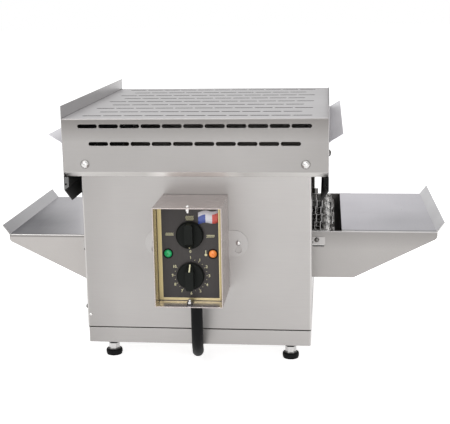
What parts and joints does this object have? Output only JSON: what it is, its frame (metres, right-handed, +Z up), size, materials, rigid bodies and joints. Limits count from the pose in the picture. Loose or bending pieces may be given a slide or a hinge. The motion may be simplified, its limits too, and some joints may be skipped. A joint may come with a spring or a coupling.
{
  "type": "conveyor toaster",
  "caption": "Countertop conveyor toaster: vented steel hood over a box body, wire belt between a feed and a delivery tray, recessed control box with knobs and lamps in front.",
  "frame": {"origin": "on the worktop plane, at the middle of the footprint of the whole machine with its trays and control box", "axes": "+X from the delivery tray towards the feed tray, +Y from the controls towards the rear, +Z up"},
  "size_m": [0.7076, 0.5504, 0.404],
  "materials": {
    "body_steel": "stainless sheet, brushed, soft grey",
    "hood_steel": "stainless sheet, brushed, heat-tinted where it runs hot",
    "tray_steel": "stainless sheet, bright brushed, finely scratched by use",
    "box_steel": "stainless sheet, brushed outside and bright inside",
    "chamber_steel": "aluminised sheet, dulled by heat",
    "belt_wire": "stainless wire, polished by wear",
    "shaft_steel": "turned stainless steel",
    "chain_steel": "oiled dark steel",
    "screw_steel": "bright plated steel",
    "bush_brass": "turned bearing bronze",
    "quartz": "milky quartz tube over a heating coil",
    "ceramic": "white unglazed ceramic",
    "motor_paint": "dark grey cast housing",
    "panel_black": "anodised dark panel with a pale gold edge and markings",
    "knob_black": "satin black thermoset",
    "green_lens": "clear green lens",
    "orange_lens": "clear orange lens",
    "black_rubber": "matt black rubber",
    "foot_black": "black rubber pad under a bright steel hexagon and rod"
  },
  "bodies": {
    "housing": {"base_pan": "body_steel", "body_front": "body_steel", "body_rear": "body_steel", "body_left_side": "body_steel", "body_right_side": "body_steel", "inner_front_wall": "chamber_steel", "inner_rear_wall": "chamber_steel", "hood_cover": "hood_steel", "hood_left_side": "hood_steel", "hood_right_side": "hood_steel", "upper_reflector": "chamber_steel", "upper_tubes": "quartz", "upper_tube_caps": "ceramic", "lower_reflectors": "chamber_steel", "lower_tubes": "quartz", "lower_tube_caps": "ceramic", "mesh_belt": "belt_wire", "belt_rail_front": "shaft_steel", "belt_rail_rear": "shaft_steel", "shaft_bushes": "bush_brass", "belt_slide_bars": "shaft_steel", "rail_spacers": "shaft_steel", "drive_chain": "chain_steel", "gear_motor": "motor_paint", "motor_posts": "screw_steel", "feed_tray": "tray_steel", "delivery_tray": "tray_steel", "tray_brackets": "box_steel", "crumb_guides": "chamber_steel", "control_box": "box_steel", "control_panel": "panel_black", "selector_switch": "ceramic", "speed_regulator": "knob_black", "green_lamp": "green_lens", "orange_lamp": "orange_lens", "box_screws": "screw_steel", "hanger_plate": "box_steel", "box_gland": "black_rubber", "base_grommet": "black_rubber", "cable_clamp": "box_steel", "loop_cable": "black_rubber", "mains_gland": "black_rubber", "terminal_block": "ceramic", "hood_bolts": "screw_steel", "small_screws": "screw_steel", "foot_nuts": "screw_steel"},
    "selector": {"selector_knob": "knob_black", "selector_spindle": "shaft_steel"},
    "speed_control": {"speed_knob": "knob_black", "speed_spindle": "shaft_steel"},
    "belt_drive": {"drive_shaft": "shaft_steel", "chain_sprocket": "chain_steel"},
    "belt_idler": {"idler_shaft": "shaft_steel"},
    "motor_output": {"motor_sprocket": "chain_steel"},
    "crumb_drawer": {"crumb_tray": "chamber_steel"},
    "front_left_foot": {"foot_front_left": "foot_black"},
    "front_right_foot": {"foot_front_right": "foot_black"},
    "rear_left_foot": {"foot_rear_left": "foot_black"},
    "rear_right_foot": {"foot_rear_right": "foot_black"}
  },
  "joints": [
    {"name": "selector_turn", "type": "hinge", "parent": "housing", "child": "selector", "pos_m": [-0.026, -0.24525, 0.2233], "axis": [0, 1, 0], "range_deg": [0, 270]},
    {"name": "speed_turn", "type": "hinge", "parent": "housing", "child": "speed_control", "pos_m": [-0.026, -0.24525, 0.1617], "axis": [0, 1, 0], "range_deg": [0, 300]},
    {"name": "drive_turn", "type": "hinge", "parent": "housing", "child": "belt_drive", "pos_m": [-0.171, 0.04025, 0.18449], "axis": [0, 1, 0], "continuous": true, "deforming": ["mesh_belt", "drive_chain"]},
    {"name": "idler_turn", "type": "hinge", "parent": "housing", "child": "belt_idler", "pos_m": [0.171, 0.04025, 0.18449], "axis": [0, 1, 0], "continuous": true},
    {"name": "motor_turn", "type": "hinge", "parent": "housing", "child": "motor_output", "pos_m": [-0.171, 0.20375, 0.11249], "axis": [0, 1, 0], "continuous": true},
    {"name": "crumb_tray_slide", "type": "slide", "parent": "housing", "child": "crumb_drawer", "axis": [0, 1, 0], "range_m": [0, 0.32]},
    {"name": "front_left_foot_screw_out", "type": "slide", "parent": "housing", "child": "front_left_foot", "axis": [0, 0, -1], "range_m": [0, 0.012]},
    {"name": "front_right_foot_screw_out", "type": "slide", "parent": "housing", "child": "front_right_foot", "axis": [0, 0, -1], "range_m": [0, 0.012]},
    {"name": "rear_left_foot_screw_out", "type": "slide", "parent": "housing", "child": "rear_left_foot", "axis": [0, 0, -1], "range_m": [0, 0.012]},
    {"name": "rear_right_foot_screw_out", "type": "slide", "parent": "housing", "child": "rear_right_foot", "axis": [0, 0, -1], "range_m": [0, 0.012]}
  ],
  "couplings": [
    {"joint": "idler_turn", "follows": "drive_turn", "ratio": 1},
    {"joint": "motor_turn", "follows": "drive_turn", "ratio": 1}
  ]
}
